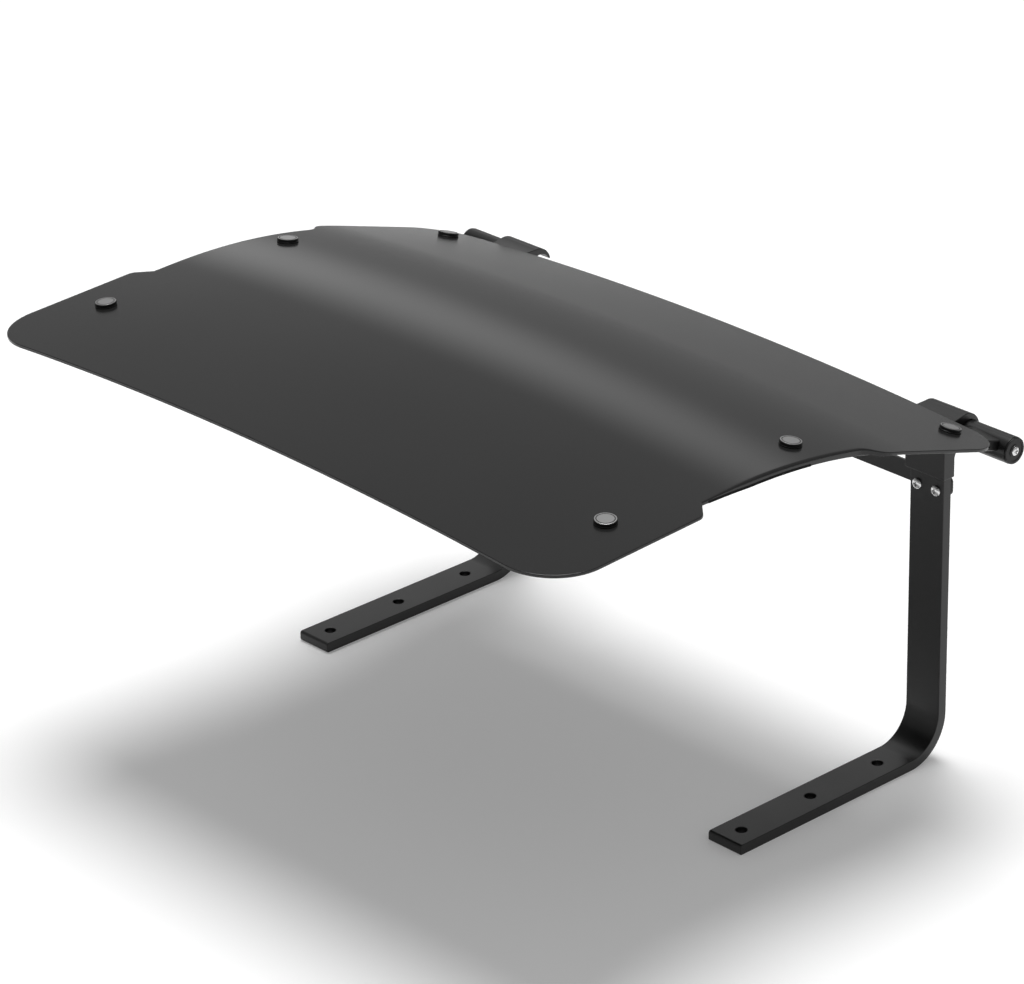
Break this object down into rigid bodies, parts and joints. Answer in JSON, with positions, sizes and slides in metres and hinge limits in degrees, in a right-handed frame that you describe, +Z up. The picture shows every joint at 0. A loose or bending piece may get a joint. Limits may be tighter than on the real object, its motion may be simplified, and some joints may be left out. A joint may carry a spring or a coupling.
{
  "type": "robot mower garage",
  "caption": "Low open canopy with a bent, crowned roof sheet that swings up at its rear edge on two bent flat-bar legs, to shelter a robot mower.",
  "frame": {"origin": "on the ground, under the middle of the whole outline, roof included", "axes": "+X to the right seen from the open front, +Y from the front to the legs at the rear, +Z up"},
  "size_m": [0.746, 0.5912, 0.415],
  "materials": {
    "roof_sheet": "smooth charcoal sheet with a satin gloss",
    "black_steel": "fine powder coat, satin black",
    "black_plastic": "moulded, fine grain",
    "soft_trim": "matt",
    "zinc_steel": "bright zinc"
  },
  "bodies": {
    "stand": {"cross_bar": "black_steel", "leg_left": "black_steel", "leg_nut_left_inner": "zinc_steel", "leg_nut_left_outer": "zinc_steel", "leg_nut_right_inner": "zinc_steel", "leg_nut_right_outer": "zinc_steel", "leg_right": "black_steel", "leg_screw_left_inner": "zinc_steel", "leg_screw_left_outer": "zinc_steel", "leg_screw_right_inner": "zinc_steel", "leg_screw_right_outer": "zinc_steel", "saddle_left": "black_steel", "saddle_right": "black_steel"},
    "roof": {"edge_trim_left": "soft_trim", "edge_trim_right": "soft_trim", "hinge_tube_left": "black_steel", "hinge_tube_right": "black_steel", "knob_left_front": "black_plastic", "knob_left_middle": "black_plastic", "knob_left_rear": "black_plastic", "knob_right_front": "black_plastic", "knob_right_middle": "black_plastic", "knob_right_rear": "black_plastic", "plug_screw_left": "zinc_steel", "plug_screw_right": "zinc_steel", "roof_panel": "roof_sheet", "side_arm_left": "black_steel", "side_arm_right": "black_steel", "tube_plug_left": "black_plastic", "tube_plug_right": "black_plastic"}
  },
  "joints": [
    {"name": "roof_hinge", "type": "hinge", "parent": "stand", "child": "roof", "pos_m": [0, 0.28207, 0.3175], "axis": [-1, 0, 0], "range_deg": [0, 75]}
  ]
}
